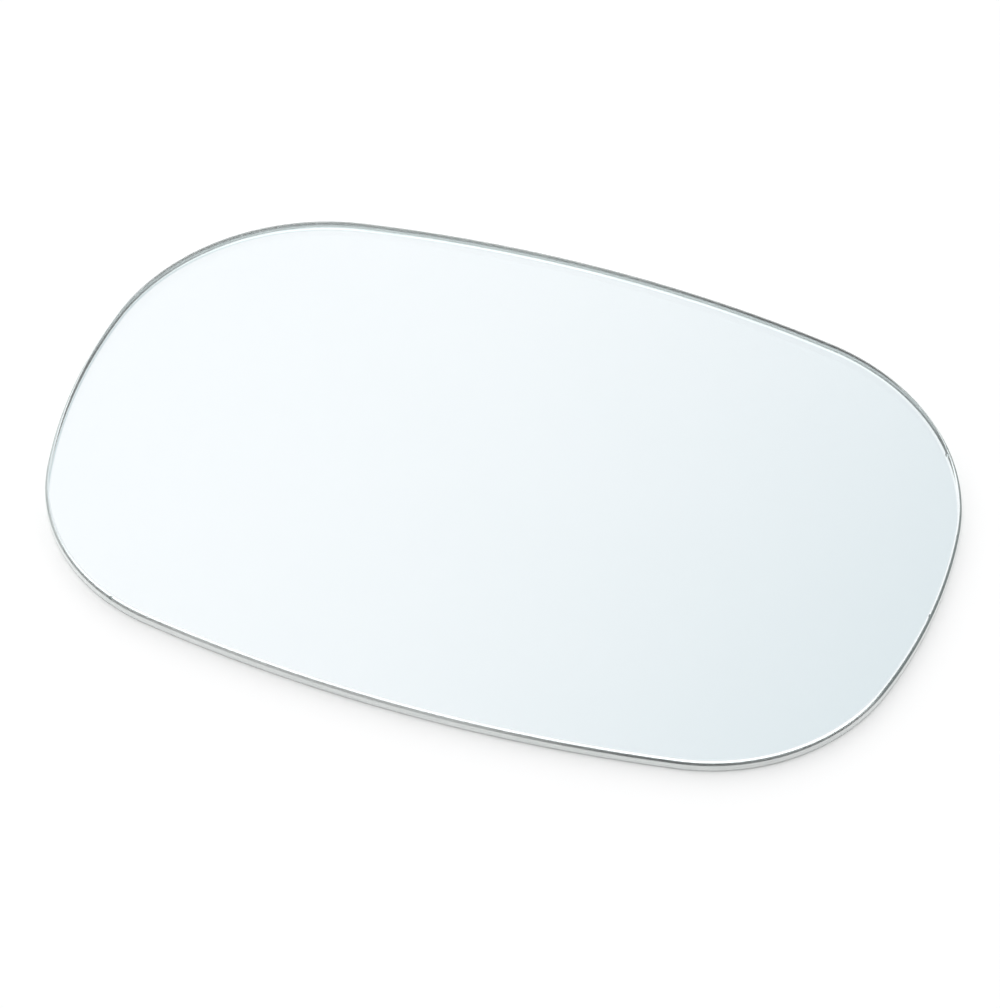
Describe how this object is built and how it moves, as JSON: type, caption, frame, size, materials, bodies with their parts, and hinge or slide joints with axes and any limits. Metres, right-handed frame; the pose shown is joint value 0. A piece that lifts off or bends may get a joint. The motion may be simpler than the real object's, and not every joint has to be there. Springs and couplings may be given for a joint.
{
  "type": "door mirror glass",
  "caption": "Flat oval plate of silvered glass with a ground, rounded rim, bonded to the carrier in a car's door mirror to give the driver a rear view.",
  "frame": {"origin": "on the painted back, at the middle of the plate's length and height", "axes": "+X along the plate's length, +Y towards its top edge as fitted to a car, +Z out of the mirror face"},
  "size_m": [0.17, 0.115, 0.0022],
  "materials": {
    "silvered_glass": "polished face, silvered and painted behind, ground rim"
  },
  "bodies": {
    "root": {"mirror_glass": "silvered_glass"}
  },
  "joints": []
}
